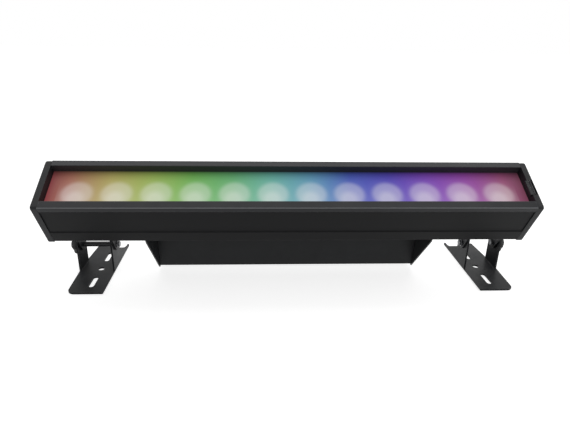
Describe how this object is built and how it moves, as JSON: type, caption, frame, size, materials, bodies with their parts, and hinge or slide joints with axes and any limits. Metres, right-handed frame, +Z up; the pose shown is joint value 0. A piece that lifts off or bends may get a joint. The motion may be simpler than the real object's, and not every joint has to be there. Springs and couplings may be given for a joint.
{
  "type": "led strip batten",
  "caption": "Long black stage light batten with a frosted window over a row of colour light cells, a wedge supply box below and tilting floor brackets.",
  "frame": {"origin": "centre of the box round the whole object, on the floor", "axes": "+X along the length to the right as seen from the front, +Y to the back, +Z up"},
  "size_m": [1.024, 0.2918, 0.2825],
  "materials": {
    "black_anodised": "fine satin black anodised extrusion",
    "black_powder": "black powder coat on cast aluminium",
    "black_sheet": "black powder coat on folded aluminium sheet",
    "bracket_powder": "charcoal powder coat on folded steel",
    "frosted_acrylic": "frosted satin face",
    "silicone": "matte moulded silicone",
    "white_reflector": "white enamelled sheet",
    "lens_polymer": "clear moulded lens",
    "board_white": "white solder mask",
    "board_green": "green solder mask",
    "zinc_steel": "zinc plated steel",
    "black_steel": "blackened steel",
    "black_nylon": "moulded black nylon",
    "supply_case": "mill-finish aluminium case",
    "display_glass": "dark glossy window",
    "button_grey": "grey moulded key cap"
  },
  "bodies": {
    "head": {"housing": "black_anodised", "front_bezel_rail": "black_anodised", "rear_bezel_rail": "black_anodised", "left_end_cap": "black_powder", "right_end_cap": "black_powder", "diffuser": "frosted_acrylic", "diffuser_gasket": "silicone", "reflector_trough": "white_reflector", "emitter_board": "board_white", "cell_lens_01": "lens_polymer", "cell_lens_02": "lens_polymer", "cell_lens_03": "lens_polymer", "cell_lens_04": "lens_polymer", "cell_lens_05": "lens_polymer", "cell_lens_06": "lens_polymer", "cell_lens_07": "lens_polymer", "cell_lens_08": "lens_polymer", "cell_lens_09": "lens_polymer", "cell_lens_10": "lens_polymer", "cell_lens_11": "lens_polymer", "cell_lens_12": "lens_polymer", "supply_box": "black_sheet", "left_supply_end": "black_sheet", "right_supply_end": "black_sheet", "power_supply": "supply_case", "driver_board": "board_green", "power_inlet": "black_nylon", "power_outlet": "black_nylon", "data_inlet": "black_nylon", "data_outlet": "black_nylon", "menu_panel": "black_nylon", "display": "display_glass", "menu_board": "board_green", "safety_lug": "zinc_steel", "left_hanger": "bracket_powder", "right_hanger": "bracket_powder", "left_front_tee_bolt": "zinc_steel", "left_rear_tee_bolt": "zinc_steel", "right_front_tee_bolt": "zinc_steel", "right_rear_tee_bolt": "zinc_steel", "left_pivot_bolt": "zinc_steel", "left_spacer_tube": "black_steel", "right_inner_bolt": "zinc_steel", "right_outer_bolt": "zinc_steel"},
    "left_foot": {"left_foot": "bracket_powder"},
    "right_foot": {"right_foot": "bracket_powder"},
    "left_knob": {"left_clamp_knob": "black_nylon"},
    "right_knob": {"right_clamp_knob": "black_nylon"},
    "latch": {"frame_latch": "black_steel"},
    "button_1": {"menu_button_1": "button_grey"},
    "button_2": {"menu_button_2": "button_grey"},
    "button_3": {"menu_button_3": "button_grey"},
    "button_4": {"menu_button_4": "button_grey"}
  },
  "joints": [
    {"name": "left_foot_tilt", "type": "hinge", "parent": "head", "child": "left_foot", "pos_m": [-0.4542, 0.03386, 0.0603], "axis": [1, 0, 0], "range_deg": [-30, 75]},
    {"name": "right_foot_tilt", "type": "hinge", "parent": "head", "child": "right_foot", "pos_m": [0.4544, 0.03386, 0.0603], "axis": [1, 0, 0], "range_deg": [-30, 75]},
    {"name": "left_knob_turn", "type": "hinge", "parent": "head", "child": "left_knob", "pos_m": [-0.5032, 0.03386, 0.0603], "axis": [1, 0, 0], "continuous": true},
    {"name": "right_knob_turn", "type": "hinge", "parent": "head", "child": "right_knob", "pos_m": [0.5035, 0.03386, 0.0603], "axis": [1, 0, 0], "continuous": true},
    {"name": "latch_slide", "type": "slide", "parent": "head", "child": "latch", "axis": [1, 0, 0], "range_m": [0, 0.0036], "stiffness_N_per_m": 500, "springref_m": -0.002},
    {"name": "button_1_press", "type": "slide", "parent": "head", "child": "button_1", "axis": [0, -0.866, -0.5], "range_m": [0, 0.0015], "stiffness_N_per_m": 600, "springref_m": -0.0005},
    {"name": "button_2_press", "type": "slide", "parent": "head", "child": "button_2", "axis": [0, -0.866, -0.5], "range_m": [0, 0.0015], "stiffness_N_per_m": 600, "springref_m": -0.0005},
    {"name": "button_3_press", "type": "slide", "parent": "head", "child": "button_3", "axis": [0, -0.866, -0.5], "range_m": [0, 0.0015], "stiffness_N_per_m": 600, "springref_m": -0.0005},
    {"name": "button_4_press", "type": "slide", "parent": "head", "child": "button_4", "axis": [0, -0.866, -0.5], "range_m": [0, 0.0015], "stiffness_N_per_m": 600, "springref_m": -0.0005}
  ]
}
